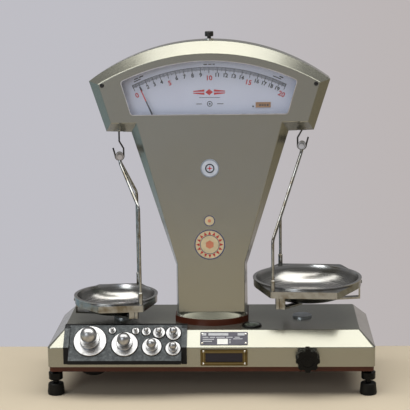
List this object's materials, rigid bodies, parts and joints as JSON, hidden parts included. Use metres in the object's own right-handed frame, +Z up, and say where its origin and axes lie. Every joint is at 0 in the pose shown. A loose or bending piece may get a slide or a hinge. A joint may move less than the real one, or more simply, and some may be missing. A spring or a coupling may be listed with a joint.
{
  "type": "two_pan_balance",
  "caption": "Semi-automatic two-pan bench balance with a fan-shaped head, dial and pointer, chrome pans and a block of nickel weights in a champagne base.",
  "frame": {"origin": "on the table, midway between the four levelling feet", "axes": "X to the viewer's right along the beam, Y away from the viewer, Z up"},
  "size_m": [0.467, 0.2026, 0.506],
  "materials": {
    "champagne_paint": "fine metallic, satin",
    "dark_red_paint": "satin",
    "black_crackle": "fine crackle",
    "chrome": "polished",
    "nickel": "satin",
    "black_screw": "blackened",
    "steel": "machined",
    "dark_steel": "blued",
    "brass": "machined",
    "dial_white": "printed, matt",
    "window_glass": "clear",
    "level_glass": "clear",
    "black_plastic": "moulded",
    "pointer_paint": "matt",
    "badge_enamel": "smooth",
    "decal_print": "printed film",
    "printed_plate": "printed",
    "copper_plate": "bare",
    "rubber": "moulded",
    "cast_grey": "as cast"
  },
  "bodies": {
    "stand": {"base_casing": "champagne_paint", "base_plate": "dark_red_paint", "weight_block": "black_crackle", "level_body": "chrome", "level_vial": "level_glass", "pan_stops": "black_plastic", "data_plate": "printed_plate", "seal_frame": "black_plastic", "seal_insert": "printed_plate", "column_plinth": "dark_red_paint", "housing": "champagne_paint", "rear_cover": "champagne_paint", "window_trim": "chrome", "window_glass": "window_glass", "dial_tray": "dial_white", "number_plate": "copper_plate", "badge": "badge_enamel", "decal": "decal_print", "fasteners": "nickel", "head_screws": "black_screw", "top_washer": "nickel", "mechanism_frame": "cast_grey"},
    "arrest_knob": {"arrest_knob": "black_plastic"},
    "top_screw": {"top_screw": "nickel"},
    "beam": {"beam": "brass", "beam_knives": "steel", "sector_arm": "brass", "pendulum_bob": "steel"},
    "pointer": {"pointer": "pointer_paint", "pinion": "brass"},
    "hook_left": {"hook_left": "dark_steel"},
    "pan_left": {"spool_left": "chrome", "rod_left_front": "chrome", "rod_left_rear": "chrome", "carrier_left": "chrome"},
    "dish_left": {"dish_left": "chrome"},
    "hook_right": {"hook_right": "dark_steel"},
    "pan_right": {"spool_right": "chrome", "rod_right_front": "chrome", "rod_right_rear": "chrome", "carrier_right": "chrome"},
    "dish_right": {"dish_right": "chrome"},
    "weight_1kg": {"weight_1kg": "nickel"},
    "weight_500g": {"weight_500g": "nickel"},
    "weight_200g": {"weight_200g": "nickel"},
    "weight_100g_a": {"weight_100g_a": "nickel"},
    "weight_100g_b": {"weight_100g_b": "nickel"},
    "weight_50g": {"weight_50g": "nickel"},
    "weight_20g": {"weight_20g": "nickel"},
    "weight_10g_a": {"weight_10g_a": "nickel"},
    "weight_10g_b": {"weight_10g_b": "nickel"},
    "pad_front_left": {"foot_pad_front_left": "rubber"},
    "screw_front_left": {"foot_screw_front_left": "black_plastic"},
    "pad_front_right": {"foot_pad_front_right": "rubber"},
    "screw_front_right": {"foot_screw_front_right": "black_plastic"},
    "pad_rear_left": {"foot_pad_rear_left": "rubber"},
    "screw_rear_left": {"foot_screw_rear_left": "black_plastic"},
    "pad_rear_right": {"foot_pad_rear_right": "rubber"},
    "screw_rear_right": {"foot_screw_rear_right": "black_plastic"}
  },
  "joints": [
    {"name": "arrest_turn", "type": "hinge", "parent": "stand", "child": "arrest_knob", "pos_m": [0.1353, -0.0915, 0.058], "axis": [0, 1, 0], "range_deg": [0, 90]},
    {"name": "top_screw_turn", "type": "hinge", "parent": "stand", "child": "top_screw", "pos_m": [0, 0.008, 0.496], "axis": [0, 0, 1], "continuous": true},
    {"name": "beam_tilt", "type": "hinge", "parent": "stand", "child": "beam", "pos_m": [0, 0, 0.4016], "axis": [0, 1, 0], "range_deg": [-0.22, 6.19]},
    {"name": "pointer_turn", "type": "hinge", "parent": "stand", "child": "pointer", "pos_m": [0, -0.024, 0.2112], "axis": [0, 1, 0], "range_deg": [-1.8, 49.6]},
    {"name": "hook_left_swing", "type": "hinge", "parent": "beam", "child": "hook_left", "pos_m": [-0.13032, 0, 0.3948], "axis": [0, 1, 0], "range_deg": [-6.2, 0.3]},
    {"name": "pan_left_swing", "type": "hinge", "parent": "hook_left", "child": "pan_left", "pos_m": [-0.13032, 0, 0.3303], "axis": [-0.108, 0.9942, 0], "range_deg": [-5, 6]},
    {"name": "dish_left_lift", "type": "slide", "parent": "pan_left", "child": "dish_left", "axis": [0, 0, 1], "range_m": [0, 0.05]},
    {"name": "hook_right_swing", "type": "hinge", "parent": "beam", "child": "hook_right", "pos_m": [0.13032, 0, 0.4084], "axis": [0, 1, 0], "range_deg": [-6.2, 0.3]},
    {"name": "pan_right_swing", "type": "hinge", "parent": "hook_right", "child": "pan_right", "pos_m": [0.13032, 0, 0.3439], "axis": [0.0767, 0.9971, 0], "range_deg": [-6, 1.5]},
    {"name": "dish_right_lift", "type": "slide", "parent": "pan_right", "child": "dish_right", "axis": [0, 0, 1], "range_m": [0, 0.03]},
    {"name": "weight_1kg_lift", "type": "slide", "parent": "stand", "child": "weight_1kg", "axis": [0, -0.7334, 0.6798], "range_m": [0, 0.062]},
    {"name": "weight_500g_lift", "type": "slide", "parent": "stand", "child": "weight_500g", "axis": [0, -0.7334, 0.6798], "range_m": [0, 0.048]},
    {"name": "weight_200g_lift", "type": "slide", "parent": "stand", "child": "weight_200g", "axis": [0, -0.7334, 0.6798], "range_m": [0, 0.04]},
    {"name": "weight_100g_a_lift", "type": "slide", "parent": "stand", "child": "weight_100g_a", "axis": [0, -0.7334, 0.6798], "range_m": [0, 0.033]},
    {"name": "weight_100g_b_lift", "type": "slide", "parent": "stand", "child": "weight_100g_b", "axis": [0, -0.7334, 0.6798], "range_m": [0, 0.033]},
    {"name": "weight_50g_lift", "type": "slide", "parent": "stand", "child": "weight_50g", "axis": [0, -0.7334, 0.6798], "range_m": [0, 0.027]},
    {"name": "weight_20g_lift", "type": "slide", "parent": "stand", "child": "weight_20g", "axis": [0, -0.7334, 0.6798], "range_m": [0, 0.022]},
    {"name": "weight_10g_a_lift", "type": "slide", "parent": "stand", "child": "weight_10g_a", "axis": [0, -0.7334, 0.6798], "range_m": [0, 0.019]},
    {"name": "weight_10g_b_lift", "type": "slide", "parent": "stand", "child": "weight_10g_b", "axis": [0, -0.7334, 0.6798], "range_m": [0, 0.019]},
    {"name": "foot_lift_front_left", "type": "slide", "parent": "stand", "child": "pad_front_left", "axis": [0, 0, 1], "range_m": [-0.003, 0.003]},
    {"name": "foot_turn_front_left", "type": "hinge", "parent": "pad_front_left", "child": "screw_front_left", "pos_m": [-0.2215, -0.075, 0.028], "axis": [0, 0, 1], "continuous": true},
    {"name": "foot_lift_front_right", "type": "slide", "parent": "stand", "child": "pad_front_right", "axis": [0, 0, 1], "range_m": [-0.003, 0.003]},
    {"name": "foot_turn_front_right", "type": "hinge", "parent": "pad_front_right", "child": "screw_front_right", "pos_m": [0.2215, -0.075, 0.028], "axis": [0, 0, 1], "continuous": true},
    {"name": "foot_lift_rear_left", "type": "slide", "parent": "stand", "child": "pad_rear_left", "axis": [0, 0, 1], "range_m": [-0.003, 0.003]},
    {"name": "foot_turn_rear_left", "type": "hinge", "parent": "pad_rear_left", "child": "screw_rear_left", "pos_m": [-0.2215, 0.075, 0.028], "axis": [0, 0, 1], "continuous": true},
    {"name": "foot_lift_rear_right", "type": "slide", "parent": "stand", "child": "pad_rear_right", "axis": [0, 0, 1], "range_m": [-0.003, 0.003]},
    {"name": "foot_turn_rear_right", "type": "hinge", "parent": "pad_rear_right", "child": "screw_rear_right", "pos_m": [0.2215, 0.075, 0.028], "axis": [0, 0, 1], "continuous": true}
  ],
  "couplings": [
    {"joint": "pointer_turn", "follows": "beam_tilt", "ratio": 8},
    {"joint": "hook_left_swing", "follows": "beam_tilt", "ratio": -1},
    {"joint": "hook_right_swing", "follows": "beam_tilt", "ratio": -1}
  ]
}
